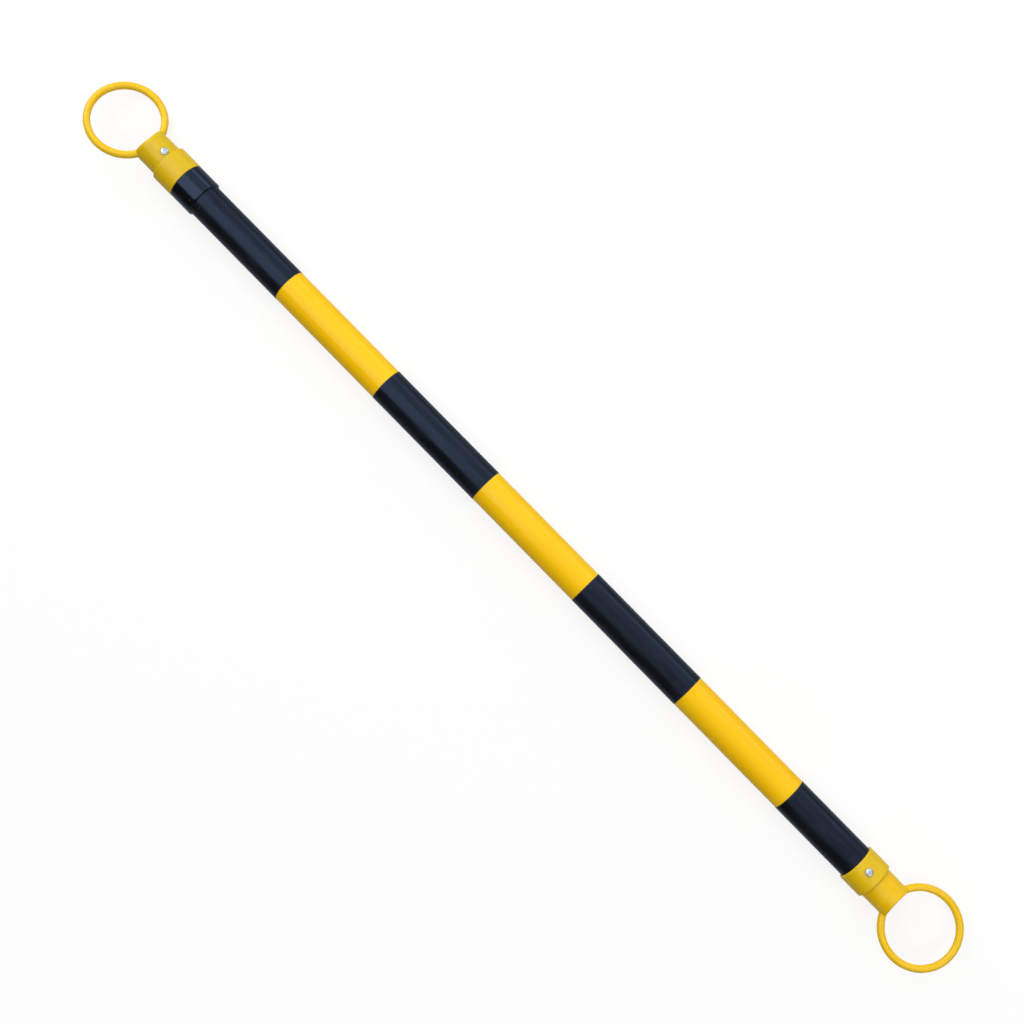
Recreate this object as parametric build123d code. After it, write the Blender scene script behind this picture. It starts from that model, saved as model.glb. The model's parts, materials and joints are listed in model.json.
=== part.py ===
from build123d import *
import math
import os

# Telescopic demarcation pole, closed, lying on the floor. Millimetres, +Z up.
# The pole's axis runs along X, with the sliding end at -X and the fixed end at +X.
# It lies on the collars of its ring caps, rolled until the rim of the sliding ring meets the floor.
# The origin is on the floor below the middle of the closed pole.

# Driving dimensions of the whole pole
closed_length = 1250.0  # over both rings
travel = 850.0  # how far the inner half slides out
ring_twist = 11.5  # degrees that the sliding ring is turned from the fixed one
running_gap = 0.3  # between pieces that slide or turn past each other
seat_gap = 0.02  # between pieces that are glued or pressed together

# Tubes and the black film on them
outer_tube_radius = 19.0
inner_tube_radius = 16.0
tube_wall = 1.5
film_thickness = 0.15
stripe_length = 147.0  # of a black stripe
stripe_step = 292.0  # from one black stripe to the next
first_outer_stripe_end = -333.8  # end of the stripe next to the mouth collar
inner_stripe_tuck = 8.0  # how far the first inner stripe runs under the sliding cap
inner_tube_tail = 440.0  # inner end of the inner tube, closed

# Ring cap, one moulding for both ends, measured from the centre of its ring
ring_radius = 40.0  # to the middle of the ring's rod
rod_radius = 4.0
ring_hole_radius = 36.3  # narrow flat land round the inside of the ring
stem_end = 37.4  # to the middle of its hollowed end
stem_hollow_radius = 44.0  # hollowed round the ring's hole, so that a cone clears it
stem_end_radius = 18.3
stem_root_radius = 18.55  # the stem widens towards the collar by its mould draft
stem_socket_end = 44.2
shoulder = 64.5
collar_radius = 21.4
collar_socket_end = 66.7
cap_mouth = 91.5
socket_clearance = 0.13  # round a tube with its film
shoulder_round = 1.8
mouth_round = 0.9
ring_blend = 1.5  # where the ring meets the stem, and round the stem's end

# Mouth collar on the open end of the outer tube
mouth_collar_length = 28.2
mouth_collar_radius = 21.25
lip_length = 5.0
lip_lead_in = 0.8
mouth_collar_front_edge = 0.4
mouth_collar_back_round = 1.7

# Stop bush, tail plug and friction ring inside the pole
stop_bush_length = 12.0
bush_edge = 0.4
flange_length = 3.0
spigot_length = 18.0
spigot_lead_in = 1.0
plug_core_radius = 11.0
plug_front_wall = 3.0
groove_radius = 14.0
friction_ring_length = 8.0
friction_ring_play = 0.05  # to the bore that it drags in
friction_ring_split = 2.5

# Blind rivets and the steel mandrel left in them
collar_rivet_place = 78.5  # from the ring's centre, on the fixed cap
stem_rivet_place = 59.0  # from the ring's centre, on the sliding cap
rivet_hole_radius = 2.05
rivet_shank_radius = 2.0
rivet_head_radius = 4.0
rivet_head_edge = 0.5
rivet_head_height = 1.3
rivet_crown_radius = 2.1
rivet_bulb_radius = 3.0
rivet_bulb_length = 3.2
rivet_bulb_edge = 0.6
rivet_head_round = 0.6
mandrel_radius = 1.1
mandrel_play = 0.05
mandrel_recess = 0.6
mandrel_head_radius = 1.9
mandrel_head_length = 2.2
mandrel_head_round = 0.7

# Places along the pole that follow from these
axis_height = collar_radius
ring_lean = math.degrees(math.asin((axis_height - rod_radius) / ring_radius))  # of a ring on the floor
ring_place = closed_length / 2 - ring_radius - rod_radius
outer_bore = outer_tube_radius - tube_wall
inner_bore = inner_tube_radius - tube_wall
outer_film_radius = outer_tube_radius + seat_gap + film_thickness
inner_film_radius = inner_tube_radius + seat_gap + film_thickness
collar_socket_radius = outer_film_radius + socket_clearance
stem_socket_radius = inner_film_radius + socket_clearance
lip_radius = inner_film_radius + running_gap
sliding_cap_mouth = -ring_place + cap_mouth
mouth_collar_front = sliding_cap_mouth + running_gap
outer_tube_mouth = mouth_collar_front + lip_length
outer_tube_end = ring_place - collar_socket_end
inner_tube_head = -ring_place + stem_socket_end
stop_bush_front = outer_tube_mouth + travel + running_gap
groove_start = inner_tube_tail + seat_gap + flange_length
groove_end = groove_start + friction_ring_length + 2 * running_gap
flange_radius = outer_bore - running_gap
stem_blank = stem_end - stem_end_radius / 2  # reach of the stem before its end is hollowed

upright = Rot(0, -90, 0)  # turns a piece's axis from X to Z
fixed_end = Pos(ring_place, 0, 0) * Rot(0, 0, 180)
sliding_end = Rot(-ring_twist, 0, 0) * Pos(-ring_place, 0, 0)
inner_half = Rot(-ring_twist, 0, 0)
lying = Pos(0, 0, axis_height) * Rot(ring_twist - ring_lean, 0, 0)


def turned(corners, rounds=()):
    """Solid turned about the X axis from (x, radius) corners, with some corners rounded."""
    face = make_face(Polyline(*corners, close=True))
    for corner, radius in rounds:
        vertex = face.vertices().sort_by_distance((*corners[corner], 0))[0]
        face = fillet(vertex, radius)
    return revolve(face, Axis.X)


def sleeve(start, end, bore, radius):
    """Plain round sleeve along the pole."""
    return turned([(start, bore), (end, bore), (end, radius), (start, radius)])


def rivet_hole(place, height):
    """Hole drilled upwards through a wall, at a place along the pole."""
    drill = Cylinder(rivet_hole_radius, height, align=(Align.CENTER, Align.CENTER, Align.MIN))
    return Pos(place, 0, 0) * drill


def ring_cap(rivet_place):
    """Stepped cap with a ring on its end, ring centred on the origin, sockets open towards +X."""
    corners = [
        (stem_blank, 0),
        (stem_blank, stem_end_radius),
        (shoulder, stem_root_radius),
        (shoulder, collar_radius),
        (cap_mouth, collar_radius),
        (cap_mouth, collar_socket_radius),
        (collar_socket_end, collar_socket_radius),
        (collar_socket_end, stem_socket_radius),
        (stem_socket_end, stem_socket_radius),
        (stem_socket_end, 0),
    ]
    shell = turned(corners, [(3, shoulder_round), (4, mouth_round)])
    shell -= Pos(stem_end - stem_hollow_radius, 0, 0) * Cylinder(stem_hollow_radius, 2 * collar_radius)
    ring = Torus(ring_radius, rod_radius) - Cylinder(ring_hole_radius, 2 * rod_radius)
    cap = shell + ring
    blended = [edge for edge in cap.edges() if edge.geom_type not in (GeomType.CIRCLE, GeomType.LINE)]
    cap = fillet(blended, ring_blend)
    return cap - rivet_hole(rivet_place, 2 * collar_radius)


def mouth_collar():
    """Collar on the open end of the outer tube, with a lip round the inner tube."""
    back = mouth_collar_front + mouth_collar_length
    corners = [
        (mouth_collar_front, lip_radius + lip_lead_in),
        (mouth_collar_front, mouth_collar_radius - mouth_collar_front_edge),
        (mouth_collar_front + mouth_collar_front_edge, mouth_collar_radius),
        (back, mouth_collar_radius),
        (back, collar_socket_radius),
        (outer_tube_mouth, collar_socket_radius),
        (outer_tube_mouth, lip_radius),
        (mouth_collar_front + lip_lead_in, lip_radius),
    ]
    return turned(corners, [(3, mouth_collar_back_round)])


def outer_tube():
    """Outer tube, drilled for the rivet of the fixed cap."""
    tube = sleeve(outer_tube_mouth, outer_tube_end, outer_bore, outer_tube_radius)
    return tube - rivet_hole(ring_place - collar_rivet_place, 2 * outer_tube_radius)


def inner_tube():
    """Inner tube, drilled for the rivet of the sliding cap."""
    tube = sleeve(inner_tube_head, inner_tube_tail, inner_bore, inner_tube_radius)
    return tube - rivet_hole(-ring_place + stem_rivet_place, 2 * inner_tube_radius)


def outer_bands():
    """Black film bands on the outer tube, the last one drilled with the tube."""
    bands = []
    end = first_outer_stripe_end
    start = outer_tube_mouth
    while start < outer_tube_end:
        band = sleeve(start, min(end, outer_tube_end), outer_tube_radius + seat_gap, outer_film_radius)
        bands.append(band - rivet_hole(ring_place - collar_rivet_place, 2 * outer_tube_radius))
        end += stripe_step
        start = end - stripe_length
    return bands


def inner_bands():
    """Black film bands on the inner tube, the first one tucked under the sliding cap."""
    bands = []
    start = sliding_cap_mouth - inner_stripe_tuck
    while start + stripe_length < stop_bush_front:
        end = start + stripe_length
        bands.append(sleeve(start, end, inner_tube_radius + seat_gap, inner_film_radius))
        start += stripe_step
    return bands


def stop_bush():
    """Bush glued on the inner tube, which meets the lip of the mouth collar at full length."""
    end = stop_bush_front + stop_bush_length
    bore = inner_tube_radius + seat_gap
    corners = [
        (stop_bush_front, bore),
        (stop_bush_front, flange_radius - bush_edge),
        (stop_bush_front + bush_edge, flange_radius),
        (end - bush_edge, flange_radius),
        (end, flange_radius - bush_edge),
        (end, bore),
    ]
    return turned(corners)


def tail_plug():
    """Hollow plug pressed into the tail of the inner tube, with a groove for the friction ring."""
    spigot_radius = inner_bore - seat_gap
    spigot_start = inner_tube_tail - spigot_length
    flange_start = inner_tube_tail + seat_gap
    plug_end = groove_end + flange_length
    corners = [
        (spigot_start, 0),
        (spigot_start, spigot_radius - spigot_lead_in),
        (spigot_start + spigot_lead_in, spigot_radius),
        (flange_start, spigot_radius),
        (flange_start, flange_radius),
        (groove_start, flange_radius),
        (groove_start, groove_radius),
        (groove_end, groove_radius),
        (groove_end, flange_radius),
        (plug_end, flange_radius),
        (plug_end, plug_core_radius),
        (spigot_start + plug_front_wall, plug_core_radius),
        (spigot_start + plug_front_wall, 0),
    ]
    return turned(corners)


def friction_ring():
    """Split ring that turns in the groove of the tail plug and drags in the outer tube."""
    start = groove_start + running_gap
    end = start + friction_ring_length
    ring = sleeve(start, end, groove_radius + running_gap, outer_bore - friction_ring_play)
    slot = Box(2 * friction_ring_length, outer_tube_radius, friction_ring_split)
    return ring - Pos(start, outer_tube_radius, 0) * slot


def rivet_and_mandrel(surface, bore):
    """Set blind rivet standing on Z through a wall, and the steel mandrel left in it."""
    seat = surface + seat_gap
    top = seat + rivet_head_height
    bulb_top = (bore**2 - rivet_bulb_radius**2) ** 0.5 - seat_gap
    bulb_end = bulb_top - rivet_bulb_length
    core = mandrel_radius + mandrel_play
    rivet_corners = [
        (bulb_end, core),
        (bulb_end, rivet_bulb_radius - rivet_bulb_edge),
        (bulb_end + rivet_bulb_edge, rivet_bulb_radius),
        (bulb_top - rivet_bulb_edge, rivet_bulb_radius),
        (bulb_top, rivet_bulb_radius - rivet_bulb_edge),
        (bulb_top, rivet_shank_radius),
        (seat, rivet_shank_radius),
        (seat, rivet_head_radius),
        (seat + rivet_head_edge, rivet_head_radius),
        (top, rivet_crown_radius),
        (top, core),
    ]
    rivet = turned(rivet_corners, [(8, rivet_head_round), (9, rivet_head_round)])
    head_start = bulb_end - seat_gap - mandrel_head_length
    mandrel_corners = [
        (head_start, 0),
        (head_start, mandrel_head_radius),
        (bulb_end - seat_gap, mandrel_head_radius),
        (bulb_end - seat_gap, mandrel_radius),
        (top - mandrel_recess, mandrel_radius),
        (top - mandrel_recess, 0),
    ]
    mandrel = turned(mandrel_corners, [(1, mandrel_head_round)])
    return upright * rivet, upright * mandrel


def stem_radius(place):
    """Outer radius of the drafted stem at a distance from the ring's centre."""
    share = (place - stem_blank) / (shoulder - stem_blank)
    return stem_end_radius + share * (stem_root_radius - stem_end_radius)


# The pieces, in the order in which the pole is put together
collar_rivet, collar_mandrel = rivet_and_mandrel(collar_radius, outer_bore)
stem_crown = stem_radius(stem_rivet_place + rivet_head_radius)
stem_rivet, stem_mandrel = rivet_and_mandrel(stem_crown, inner_bore)
on_collar = fixed_end * Pos(collar_rivet_place, 0, 0)
on_stem = sliding_end * Pos(stem_rivet_place, 0, 0)

pieces = {
    "outer_tube": outer_tube(),
    "mouth_collar": mouth_collar(),
    "fixed_ring_cap": fixed_end * ring_cap(collar_rivet_place),
    "fixed_cap_rivet": on_collar * collar_rivet,
    "fixed_cap_rivet_mandrel": on_collar * collar_mandrel,
    "inner_tube": inner_half * inner_tube(),
    "stop_bush": stop_bush(),
    "tail_plug": tail_plug(),
    "friction_ring": friction_ring(),
    "sliding_ring_cap": sliding_end * ring_cap(stem_rivet_place),
    "sliding_cap_rivet": on_stem * stem_rivet,
    "sliding_cap_rivet_mandrel": on_stem * stem_mandrel,
}
for number, band in enumerate(outer_bands(), 1):
    pieces[f"outer_black_band_{number}"] = band
for number, band in enumerate(inner_bands(), 1):
    pieces[f"inner_black_band_{number}"] = band

os.makedirs("parts", exist_ok=True)
for name, piece in pieces.items():
    export_step(lying * piece, f"parts/{name}.step")
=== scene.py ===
import json
import math

import bmesh
import bpy
from mathutils import Euler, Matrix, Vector


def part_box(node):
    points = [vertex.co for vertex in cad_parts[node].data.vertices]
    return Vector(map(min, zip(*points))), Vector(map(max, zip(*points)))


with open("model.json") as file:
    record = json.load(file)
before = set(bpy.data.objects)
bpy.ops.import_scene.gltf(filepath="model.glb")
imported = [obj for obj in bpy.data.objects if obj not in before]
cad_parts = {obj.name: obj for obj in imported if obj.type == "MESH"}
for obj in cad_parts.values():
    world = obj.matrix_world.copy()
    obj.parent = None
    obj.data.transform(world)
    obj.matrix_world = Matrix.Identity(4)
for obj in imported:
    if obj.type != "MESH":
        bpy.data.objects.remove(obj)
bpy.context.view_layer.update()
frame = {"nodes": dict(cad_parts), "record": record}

# Outer tube: the yellow plastic tube that is held still, pushed out through a die in one length.
# The die leaves faint lines along it, and handling adds thin pale scratches and specks of dust.
# It is drilled once, for the rivet of the fixed cap.
tube_yellow = (0.97, 0.585, 0.006, 1.0)
tube_yellow_deep = (0.94, 0.545, 0.004, 1.0)
scratch_yellow = (0.94, 0.68, 0.08, 1.0)
dust_colour = (0.34, 0.27, 0.16, 1.0)
tube_sheen = (0.019, 0.019, 0.019)
tube_roughness = (0.10, 0.18)
tube_marred_roughness = 0.35
noise_range = (0.3, 0.7)  # nearly all of a soft noise lies in it
cloud_size = 0.05
cloud_levels = (0.35, 0.65)
die_line_width = 0.0012
die_line_depth = 0.00002
scratch_width = 0.0008
scratch_fade = 0.06
dust_spacing = 0.017
dust_size = 0.0007
dust_strength = 0.6
full_level_mirror = 0.08  # share of the light that a shader mirrors square on at full level
strongest_tint = 24.0  # an exported model holds tints up to 25


def new_finish(name):
    """Node material, with its tree, its shader and the object's own coordinates."""
    finish = bpy.data.materials.new(name)
    finish.use_nodes = True
    tree = finish.node_tree
    shader = tree.nodes["Principled BSDF"]
    place = tree.nodes.new("ShaderNodeTexCoord").outputs["Object"]
    return finish, tree, shader, place


def fill(tree, socket, source):
    """Gives a socket a plain value, or links it to the output of a node."""
    if isinstance(source, bpy.types.NodeSocket):
        tree.links.new(source, socket)
    else:
        socket.default_value = source


def mottle(tree, place, size, stretch=1.0, detail=3.0):
    """Soft noise of a grain size in metres, drawn out along the pole by a factor."""
    mapping = tree.nodes.new("ShaderNodeMapping")
    mapping.inputs["Scale"].default_value = (1.0 / (size * stretch), 1.0 / size, 1.0 / size)
    fill(tree, mapping.inputs["Vector"], place)
    noise = tree.nodes.new("ShaderNodeTexNoise")
    noise.inputs["Scale"].default_value = 1.0
    noise.inputs["Detail"].default_value = detail
    fill(tree, noise.inputs["Vector"], mapping.outputs["Vector"])
    return noise.outputs["Fac"]


def remap(tree, value, start, end, at_start=0.0, at_end=1.0):
    """Value mapped from start..end to at_start..at_end, and held beyond."""
    node = tree.nodes.new("ShaderNodeMapRange")
    node.inputs["From Min"].default_value = start
    node.inputs["From Max"].default_value = end
    node.inputs["To Min"].default_value = at_start
    node.inputs["To Max"].default_value = at_end
    fill(tree, node.inputs["Value"], value)
    return node.outputs["Result"]


def combine(tree, operation, first, second=0.0):
    """Two values, each a number or the output of a node, put together by an operation."""
    node = tree.nodes.new("ShaderNodeMath")
    node.operation = operation
    fill(tree, node.inputs[0], first)
    fill(tree, node.inputs[1], second)
    return node.outputs[0]


def add(tree, first, second, times=1.0):
    """One value, plus another times a factor."""
    return combine(tree, "ADD", first, combine(tree, "MULTIPLY", second, times))


def blend_colours(tree, amount, first, second):
    """Mix of two colours, each a value or the output of a node."""
    node = tree.nodes.new("ShaderNodeMix")
    node.data_type = "RGBA"
    fill(tree, node.inputs["Factor"], amount)
    # The node has sockets A, B and Result for each type of data; these three are those for colours
    fill(tree, node.inputs[6], first)
    fill(tree, node.inputs[7], second)
    return node.outputs[2]


def scratch_marks(tree, place, start, stretch, strength):
    """Thin scratches along the pole; the lower the level they start at, the more there are."""
    scratched = mottle(tree, place, scratch_width, stretch=stretch, detail=1.0)
    return remap(tree, scratched, start, start + scratch_fade, 0.0, strength)


def specks(tree, place, spacing, size):
    """Scattered specks up to a size, with their seeds a spacing apart."""
    mapping = tree.nodes.new("ShaderNodeMapping")
    mapping.inputs["Scale"].default_value = (1.0 / spacing, 1.0 / spacing, 1.0 / spacing)
    fill(tree, mapping.inputs["Vector"], place)
    cells = tree.nodes.new("ShaderNodeTexVoronoi")
    cells.inputs["Scale"].default_value = 1.0
    fill(tree, cells.inputs["Vector"], mapping.outputs["Vector"])
    reach = size / spacing
    return remap(tree, cells.outputs["Distance"], reach, reach / 2)


def relief(tree, shader, height, depth):
    """Bump of a depth in metres on the shader's normal."""
    bump = tree.nodes.new("ShaderNodeBump")
    bump.inputs["Distance"].default_value = depth
    fill(tree, bump.inputs["Height"], height)
    fill(tree, shader.inputs["Normal"], bump.outputs["Normal"])


def sheen(shader, strength):
    """Sheen that mirrors a share of the light for each colour, seen square on, and little more aslant.

    A low level with a strong tint gives the same share square on, and rises less towards the rims.
    """
    untinted = max(strength) / strongest_tint
    shader.inputs["Specular IOR Level"].default_value = untinted / full_level_mirror
    shader.inputs["Specular Tint"].default_value = [share / untinted for share in strength] + [1.0]


def finish_nodes(finish, *nodes):
    """Gives CAD nodes a finish."""
    for node in nodes:
        slots = frame["nodes"][node].data.materials
        slots.clear()
        slots.append(finish)


def tube_finish(name, scratch_start):
    """Yellow plastic out of a die; the lower scratch_start is, the more of it is scratched lengthwise."""
    finish, tree, shader, place = new_finish(name)
    die_lines = mottle(tree, place, die_line_width, stretch=120.0)
    cloud = remap(tree, mottle(tree, place, cloud_size, stretch=3.0), *cloud_levels)
    scratches = scratch_marks(tree, place, scratch_start, stretch=70.0, strength=0.7)
    dust = combine(tree, "MULTIPLY", specks(tree, place, dust_spacing, dust_size), dust_strength)
    colour = blend_colours(tree, cloud, tube_yellow, tube_yellow_deep)
    colour = blend_colours(tree, scratches, colour, scratch_yellow)
    colour = blend_colours(tree, dust, colour, dust_colour)
    fill(tree, shader.inputs["Base Color"], colour)
    smooth = remap(tree, die_lines, *noise_range, *tube_roughness)
    marred = add(tree, scratches, dust)
    fill(tree, shader.inputs["Roughness"], add(tree, smooth, marred, times=tube_marred_roughness))
    sheen(shader, tube_sheen)
    relief(tree, shader, die_lines, die_line_depth)
    return finish


finish_nodes(tube_finish("drawn_yellow_plastic", scratch_start=0.72), "outer_tube")

# Black bands of the outer tube: self-adhesive film wrapped once round it, at even steps.
# The film is near black with a bluish sheen, smoothed on by hand, so the sheen is cloudy.
# Dust settles on it in specks and gathers along its cut ends.
film_black = (0.0060, 0.0066, 0.0086, 1.0)
film_black_rubbed = (0.0090, 0.0098, 0.0125, 1.0)
film_dust_colour = (0.060, 0.058, 0.054, 1.0)
film_sheen = (0.0123, 0.0196, 0.0354)
film_roughness = (0.14, 0.34)
film_grain_roughness = 0.06
film_marred_roughness = 0.15
film_relief_depth = 0.00003
film_grain = 0.0015
film_grain_height = 0.3
smear_size = 0.010
rubbed_levels = (0.4, 0.7)
film_edge_width = 0.0016
edge_dust_grain = 0.003
film_dust_spacing = 0.030
film_dust_size = 0.0011
band_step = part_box("outer_black_band_3")[0].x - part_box("outer_black_band_2")[0].x


def along_pole(tree, place):
    """Place along the pole, out of the object's own coordinates."""
    axes = tree.nodes.new("ShaderNodeSeparateXYZ")
    fill(tree, axes.inputs[0], place)
    return axes.outputs["X"]


def film_finish(name, whole_band, scratch_start):
    """Black film in even bands, given the node of one that shows over its whole length."""
    finish, tree, shader, place = new_finish(name)
    low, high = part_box(whole_band)
    half_length = (high.x - low.x) / 2
    from_middle = combine(tree, "SUBTRACT", along_pole(tree, place), (low.x + high.x) / 2)
    from_middle = combine(tree, "PINGPONG", from_middle, band_step / 2)
    at_end = remap(tree, from_middle, half_length - film_edge_width, half_length)
    grain = mottle(tree, place, film_grain, stretch=20.0)
    smear = mottle(tree, place, smear_size, stretch=3.0)
    scratches = scratch_marks(tree, place, scratch_start, stretch=50.0, strength=1.0)
    rubbed = combine(tree, "MAXIMUM", remap(tree, smear, *rubbed_levels), scratches)
    edge_dust = combine(tree, "MULTIPLY", at_end, mottle(tree, place, edge_dust_grain))
    dust = combine(tree, "MAXIMUM", edge_dust, specks(tree, place, film_dust_spacing, film_dust_size))
    colour = blend_colours(tree, rubbed, film_black, film_black_rubbed)
    colour = blend_colours(tree, dust, colour, film_dust_colour)
    fill(tree, shader.inputs["Base Color"], colour)
    smooth = remap(tree, smear, *noise_range, *film_roughness)
    smooth = add(tree, smooth, grain, times=film_grain_roughness)
    marred = add(tree, scratches, edge_dust)
    fill(tree, shader.inputs["Roughness"], add(tree, smooth, marred, times=film_marred_roughness))
    sheen(shader, film_sheen)
    relief(tree, shader, add(tree, smear, grain, times=film_grain_height), film_relief_depth)
    return finish


outer_film = film_finish("wrapped_black_film", "outer_black_band_2", scratch_start=0.74)
finish_nodes(outer_film, *[node for node in frame["nodes"] if node.startswith("outer_black_band")])

# Mouth collar: glossy black moulding glued on the open end of the outer tube.
# Its lip guides the inner tube, and laying the pole down leaves a few scuffs on it.
moulded_black_colour = (0.004, 0.004, 0.005, 1.0)
moulded_black_scuffed = (0.016, 0.017, 0.019, 1.0)
moulded_black_sheen = (0.0200, 0.0310, 0.0520)
moulded_grain = 0.0006
moulded_grain_roughness = 0.05
moulded_grain_depth = 0.000006
black_scuff_size = 0.004
black_scuff_levels = (0.60, 0.72)
black_scuff_roughness = 0.12


def black_moulding(name, roughness):
    """Black moulded plastic with a fine grain and a few scuffs, of some roughness where it is sound."""
    finish, tree, shader, place = new_finish(name)
    grain = mottle(tree, place, moulded_grain)
    scuffs = remap(tree, mottle(tree, place, black_scuff_size, detail=6.0), *black_scuff_levels)
    colour = blend_colours(tree, scuffs, moulded_black_colour, moulded_black_scuffed)
    fill(tree, shader.inputs["Base Color"], colour)
    smooth = remap(tree, grain, *noise_range, roughness, roughness + moulded_grain_roughness)
    fill(tree, shader.inputs["Roughness"], add(tree, smooth, scuffs, times=black_scuff_roughness))
    sheen(shader, moulded_black_sheen)
    relief(tree, shader, grain, moulded_grain_depth)
    return finish


finish_nodes(black_moulding("moulded_black_plastic", roughness=0.14), "mouth_collar")

# Inner tube and its three film bands: the same stock in a smaller size, sliding out of the outer tube.
# Each pull rubs it along the lip of the mouth collar, so its scratches are many and run lengthwise.
finish_nodes(tube_finish("slid_yellow_plastic", scratch_start=0.64), "inner_tube")
inner_film = film_finish("slid_black_film", "inner_black_band_2", scratch_start=0.66)
finish_nodes(inner_film, *[node for node in frame["nodes"] if node.startswith("inner_black_band")])

# Stop bush and tail plug: black mouldings on the inner tube, out of sight in the outer tube.
# The bush is glued on and meets the lip of the mouth collar, and the plug is pressed into the tail.
finish_nodes(black_moulding("dull_black_plastic", roughness=0.32), "stop_bush", "tail_plug")

# Friction ring: split ring of natural nylon in the groove of the tail plug.
# It drags in the bore of the outer tube, which leaves grey rub marks on it.
nylon_white = (0.80, 0.77, 0.70, 1.0)
nylon_rubbed = (0.52, 0.49, 0.43, 1.0)


def worn_finish(name, grain, levels, colours, roughness, depth, stretch=1.0, detail=3.0, metallic=0.0):
    """Finish whose colour, roughness and relief all follow one wear of a grain size in metres."""
    finish, tree, shader, place = new_finish(name)
    wear = mottle(tree, place, grain, stretch=stretch, detail=detail)
    fill(tree, shader.inputs["Base Color"], blend_colours(tree, remap(tree, wear, *levels), *colours))
    fill(tree, shader.inputs["Roughness"], remap(tree, wear, *noise_range, *roughness))
    shader.inputs["Metallic"].default_value = metallic
    relief(tree, shader, wear, depth)
    return finish


nylon = worn_finish(
    "natural_nylon",
    grain=0.0009,
    levels=(0.5, 0.7),
    colours=(nylon_white, nylon_rubbed),
    roughness=(0.38, 0.6),
    depth=0.00001,
    stretch=12.0,
)
finish_nodes(nylon, "friction_ring")

# Ring caps: one injection moulding for both ends, of collar, stem and ring in yellow plastic.
# Collar and stem have thin walls that let some light through, so they look duller than the solid ring.
# Rims are scuffed pale, grime with a painted shadow sits round the rivet, painted shade darkens the stem at
# the foot of the shoulder, and the mould's parting line runs in the ring's plane.
ring_yellow = (0.86, 0.540, 0.006, 1.0)
fixed_collar_yellow = (0.775, 0.510, 0.006, 1.0)
fixed_stem_yellow = (0.865, 0.538, 0.005, 1.0)
sliding_collar_yellow = (0.705, 0.470, 0.006, 1.0)
sliding_stem_yellow = (0.680, 0.468, 0.006, 1.0)
scuffed_yellow = (0.88, 0.64, 0.10, 1.0)
# Dark brown for the grime and painted shadow round the rivet, and for the painted shade in the corner at
# the shoulder
grime_and_shade_colour = (0.22, 0.14, 0.02, 1.0)
cap_sheen = (0.030, 0.030, 0.030)
cap_roughness = (0.22, 0.32)
cap_shades = (0.97, 1.025)
cap_grain = 0.0007
cap_grain_height = 0.4
cap_relief_depth = 0.00004
blotch_size = 0.012
collar_length = 0.027
stem_length = 0.0271
shoulder_blend = 0.001
ring_blend = 0.004
wear_grain = 0.0016
scuff_levels = (0.46, 0.64)
scuff_strength = 0.55
scuff_roughness = 0.2
rim_width = 0.0012
mouth_edge = 0.0016
shoulder_edge = 0.0009
shoulder_edge_inset = 0.0008
# Reach and strength of the grime with painted shadow round the rivet, and of the painted shade in the
# corner at the shoulder
rivet_grime_and_shadow_reach = (0.0062, 0.0042)
rivet_grime_and_shadow_strength = 0.55
corner_offset = 0.0004
corner_reach = 0.0008
corner_shade_strength = 0.5
parting_line_width = 0.0002


def distance_from(tree, place, point):
    """Distance of the surface from a point."""
    node = tree.nodes.new("ShaderNodeVectorMath")
    node.operation = "DISTANCE"
    fill(tree, node.inputs[0], place)
    node.inputs[1].default_value = point
    return node.outputs["Value"]


def distance_along(tree, place, axis):
    """Distance of the surface from the origin, measured along an axis."""
    node = tree.nodes.new("ShaderNodeVectorMath")
    node.operation = "DOT_PRODUCT"
    fill(tree, node.inputs[0], place)
    node.inputs[1].default_value = axis
    return node.outputs["Value"]


def near(tree, value, middle, reach):
    """Full where value is at a middle, and fading out within a reach on both sides."""
    away = combine(tree, "ABSOLUTE", combine(tree, "SUBTRACT", value, middle))
    return remap(tree, away, reach, 0.0)


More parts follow.
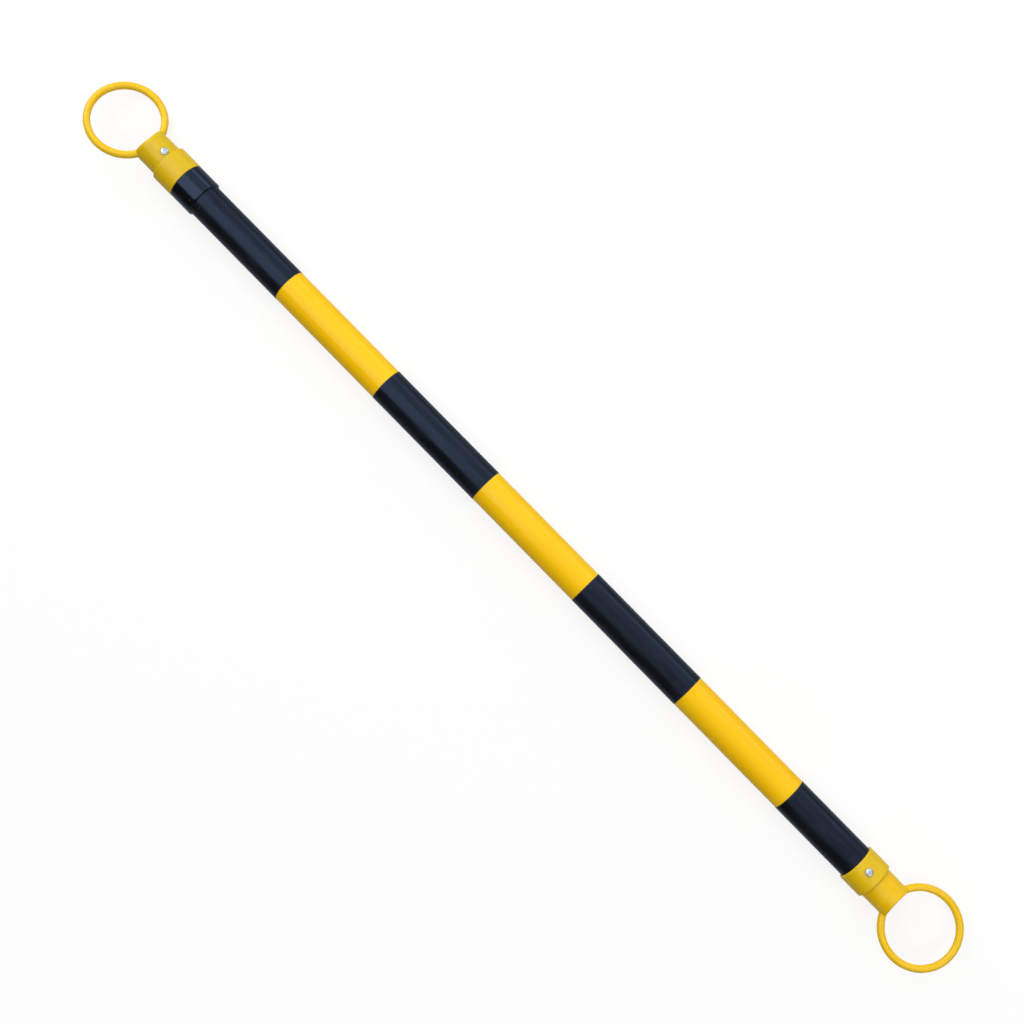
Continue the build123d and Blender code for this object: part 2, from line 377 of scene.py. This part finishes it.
def cap_finish(name, end, mount, collar_yellow, stem_yellow):
    """Moulded yellow plastic of the ring cap at one end, placed by its box, its rivet and its mount."""
    finish, tree, shader, place = new_finish(name)
    low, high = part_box(end + "_ring_cap")
    mouth = min(abs(low.x), abs(high.x))
    shoulder = mouth + collar_length
    stem_end = shoulder + stem_length
    ring_centre = Vector(mount["pos_m"])
    ring_axis = Vector(mount["axis"])
    ring_outer_radius = max(abs(low.x), abs(high.x)) - abs(ring_centre.x)
    rivet_low, rivet_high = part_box(end + "_cap_rivet")
    rivet_top = (rivet_low + rivet_high) / 2
    rivet_top.z = rivet_high.z
    outwards = combine(tree, "ABSOLUTE", along_pole(tree, place))
    grain = mottle(tree, place, cap_grain)
    blotch = mottle(tree, place, blotch_size)
    wear = mottle(tree, place, wear_grain, detail=8.0)

    on_stem = remap(tree, outwards, shoulder - shoulder_blend, shoulder + shoulder_blend)
    on_ring = remap(tree, outwards, stem_end - ring_blend, stem_end + ring_blend)
    colour = blend_colours(tree, on_stem, collar_yellow, stem_yellow)
    colour = blend_colours(tree, on_ring, colour, ring_yellow)
    shaded = tree.nodes.new("ShaderNodeHueSaturation")
    fill(tree, shaded.inputs["Value"], remap(tree, blotch, *noise_range, *cap_shades))
    fill(tree, shaded.inputs["Color"], colour)

    from_centre = distance_from(tree, place, ring_centre)
    on_rim = remap(tree, from_centre, ring_outer_radius - rim_width, ring_outer_radius)
    on_rim = combine(tree, "MULTIPLY", on_rim, remap(tree, outwards, stem_end, stem_end + ring_blend))
    at_mouth = near(tree, outwards, mouth, mouth_edge)
    at_shoulder = near(tree, outwards, shoulder - shoulder_edge_inset, shoulder_edge)
    on_edge = combine(tree, "MAXIMUM", on_rim, combine(tree, "MAXIMUM", at_mouth, at_shoulder))
    scuffs = combine(tree, "MULTIPLY", on_edge, remap(tree, wear, *scuff_levels, 0.0, scuff_strength))
    colour = blend_colours(tree, scuffs, shaded.outputs["Color"], scuffed_yellow)

    # Grime mixed with painted shadow: a patchy dark ring round the rivet head
    from_rivet = distance_from(tree, place, rivet_top)
    round_rivet = remap(tree, from_rivet, *rivet_grime_and_shadow_reach, 0.0, rivet_grime_and_shadow_strength)
    # Painted shade: a dark line on the stem at the foot of the shoulder, where the corner lies in shade
    in_corner = near(tree, outwards, shoulder + corner_offset, corner_reach)
    in_corner = combine(tree, "MULTIPLY", in_corner, corner_shade_strength)
    grime_and_shade = combine(tree, "MAXIMUM", combine(tree, "MULTIPLY", round_rivet, wear), in_corner)
    fill(tree, shader.inputs["Base Color"], blend_colours(tree, grime_and_shade, colour, grime_and_shade_colour))

    smooth = remap(tree, blotch, *noise_range, *cap_roughness)
    fill(tree, shader.inputs["Roughness"], add(tree, smooth, scuffs, times=scuff_roughness))
    sheen(shader, cap_sheen)
    off_plane = distance_along(tree, place, ring_axis)
    parting_line = near(tree, off_plane, ring_axis.dot(ring_centre), parting_line_width)
    relief(tree, shader, add(tree, parting_line, grain, times=cap_grain_height), cap_relief_depth)
    return finish


fixed_mount, sliding_mount = frame["record"]["mounts"]
fixed_cap = cap_finish(
    "moulded_yellow_plastic", "fixed", fixed_mount, fixed_collar_yellow, fixed_stem_yellow
)
finish_nodes(fixed_cap, "fixed_ring_cap")
sliding_cap = cap_finish(
    "moulded_yellow_plastic_sliding", "sliding", sliding_mount, sliding_collar_yellow, sliding_stem_yellow
)
finish_nodes(sliding_cap, "sliding_ring_cap")

# Blind rivets: aluminium, set from outside through cap and tube, one to each cap.
# The setting tool leaves small dents and dull patches on the head.
aluminium_grey = (0.61, 0.70, 0.83, 1.0)
aluminium_dull = (0.44, 0.53, 0.66, 1.0)
aluminium = worn_finish(
    "set_aluminium",
    grain=0.0012,
    levels=(0.4, 0.65),
    colours=(aluminium_grey, aluminium_dull),
    roughness=(0.40, 0.55),
    depth=0.00008,
    detail=5.0,
    metallic=1.0,
)
finish_nodes(aluminium, "fixed_cap_rivet", "sliding_cap_rivet")

# Mandrels: the steel pins that pulled the rivets tight and snapped off inside them.
# Only the dull torn face shows, deep in the head.
steel_dark = (0.36, 0.40, 0.45, 1.0)
steel_grey = (0.62, 0.68, 0.75, 1.0)
steel = worn_finish(
    "torn_steel",
    grain=0.0005,
    levels=(0.35, 0.65),
    colours=(steel_dark, steel_grey),
    roughness=(0.4, 0.65),
    depth=0.0002,
    detail=4.0,
    metallic=1.0,
)
finish_nodes(steel, "fixed_cap_rivet_mandrel", "sliding_cap_rivet_mandrel")

# Floor: a plain white sheet that the pole lies on, with a soft shadow.
# A small share of it takes light and shadow, and the rest lets the white of the backdrop through.
# A ring that is turned on edge reaches below the floor, and still shows whole.
floor_white = (1.0, 1.0, 1.0, 1.0)
floor_roughness = 0.9
floor_radius = 2.2
floor_segments = 96
floor_fade_from = 0.9
floor_share = 0.20
bm = bmesh.new()
bmesh.ops.create_circle(bm, cap_ends=True, segments=floor_segments, radius=floor_radius)
floor_mesh = bpy.data.meshes.new("floor")
bm.to_mesh(floor_mesh)
bm.free()
floor = bpy.data.objects.new("floor", floor_mesh)
bpy.context.scene.collection.objects.link(floor)
floor_paint, tree, shader, place = new_finish("floor_paint")
shader.inputs["Base Color"].default_value = floor_white
shader.inputs["Roughness"].default_value = floor_roughness
shader.inputs["Specular IOR Level"].default_value = 0.0
floor_middle = (0.0, 0.0, 0.0)
from_middle = distance_from(tree, place, floor_middle)
see_through = tree.nodes.new("ShaderNodeBsdfTransparent")
sheet = tree.nodes.new("ShaderNodeMixShader")
fill(tree, sheet.inputs["Fac"], remap(tree, from_middle, floor_fade_from, floor_radius, floor_share, 0.0))
fill(tree, sheet.inputs[1], see_through.outputs[0])
fill(tree, sheet.inputs[2], shader.outputs[0])
fill(tree, tree.nodes["Material Output"].inputs["Surface"], sheet.outputs[0])
floor_mesh.materials.append(floor_paint)

# Studio light: soft panels above the pole, down its +Y side and at both ends, strongest by the sliding end.
# The room is dim, and its backdrop is white to the camera all round. From the horizon down it also whitens
# for mirrors, and it throws light back up there as a white floor does.
room_dim = (0.05, 0.04, 0.03, 1.0)
backdrop_white = (1.0, 1.0, 1.0, 1.0)
floor_bounce = 0.8
horizon = 0.0
full_white_below = -0.7  # upright part of a direction some 45 degrees below the horizon
panel_distance = 4.0
axis_height = fixed_mount["pos_m"][2]
world = bpy.data.worlds.new("studio")
bpy.context.scene.world = world
world.use_nodes = True
tree = world.node_tree
direction = tree.nodes.new("ShaderNodeSeparateXYZ")
fill(tree, direction.inputs[0], tree.nodes.new("ShaderNodeTexCoord").outputs["Generated"])
low_down = remap(tree, direction.outputs["Z"], horizon, full_white_below)
rays = tree.nodes.new("ShaderNodeLightPath").outputs
mirrored = combine(tree, "ADD", rays["Is Glossy Ray"], rays["Is Transmission Ray"])
white_below = combine(tree, "MULTIPLY", combine(tree, "MAXIMUM", mirrored, floor_bounce), low_down)
seen_white = combine(tree, "MAXIMUM", rays["Is Camera Ray"], white_below)
room_colour = blend_colours(tree, seen_white, room_dim, backdrop_white)
fill(tree, tree.nodes["Background"].inputs["Color"], room_colour)


def panel(name, angles, along, radiance, turned=0.0):
    """Light panel between two angles off the top towards +Y, and between two places along the pole.

    The whole set-up may be turned about the upright through the pole's middle; 90 degrees takes +Y to -X.
    """
    start, end = (math.radians(angle) for angle in angles)
    middle = (start + end) / 2
    light = bpy.data.lights.new(name, "AREA")
    light.shape = "RECTANGLE"
    light.size = along[1] - along[0]
    light.size_y = 2 * panel_distance * math.tan((end - start) / 2)
    light.energy = radiance * math.pi * light.size * light.size_y
    lamp = bpy.data.objects.new(name, light)
    across = panel_distance * math.sin(middle)
    above = panel_distance * math.cos(middle)
    upright_turn = Euler((0.0, 0.0, math.radians(turned))).to_matrix()
    lamp.location = upright_turn @ Vector((sum(along) / 2, across, axis_height + above))
    lamp.rotation_euler = (-middle, 0.0, math.radians(turned))
    lamp.visible_camera = False
    bpy.context.scene.collection.objects.link(lamp)


panel("roof_sliding_end", angles=(-33.0, 30.0), along=(-2.6, -0.2), radiance=1.75)
panel("roof_fixed_end", angles=(-33.0, 30.0), along=(-0.2, 1.9), radiance=0.45)
panel("roof_beyond", angles=(-20.0, 40.0), along=(1.9, 3.7), radiance=3.0)
panel("slope", angles=(30.0, 74.0), along=(-2.05, 1.45), radiance=0.95)
panel("side", angles=(74.0, 93.0), along=(-2.05, 1.45), radiance=1.8)
panel("sliding_end", angles=(36.0, 80.0), along=(-0.2, 3.0), radiance=3.5, turned=90.0)
panel("fixed_end", angles=(50.0, 85.0), along=(-1.5, 1.5), radiance=0.8, turned=-90.0)

# Camera: the photograph's viewpoint, almost straight above the pole, which runs corner to corner.
# Its place, turn and lens were fitted to the outlines of the rings, the tube and the stripes.
camera_place = (0.12223, 0.22393, 1.83972)
camera_turn = (-7.005, 3.942, 45.485)
camera_lens = 63.058
camera_sensor = 36.0
camera = bpy.data.objects.new("camera", bpy.data.cameras.new("camera"))
camera.data.lens = camera_lens
camera.data.sensor_width = camera_sensor
camera.location = camera_place
camera.rotation_mode = "ZYX"
camera.rotation_euler = Euler([math.radians(angle) for angle in camera_turn], "ZYX")
bpy.context.scene.collection.objects.link(camera)
bpy.context.scene.camera = camera
bpy.context.scene.view_settings.view_transform = "Standard"
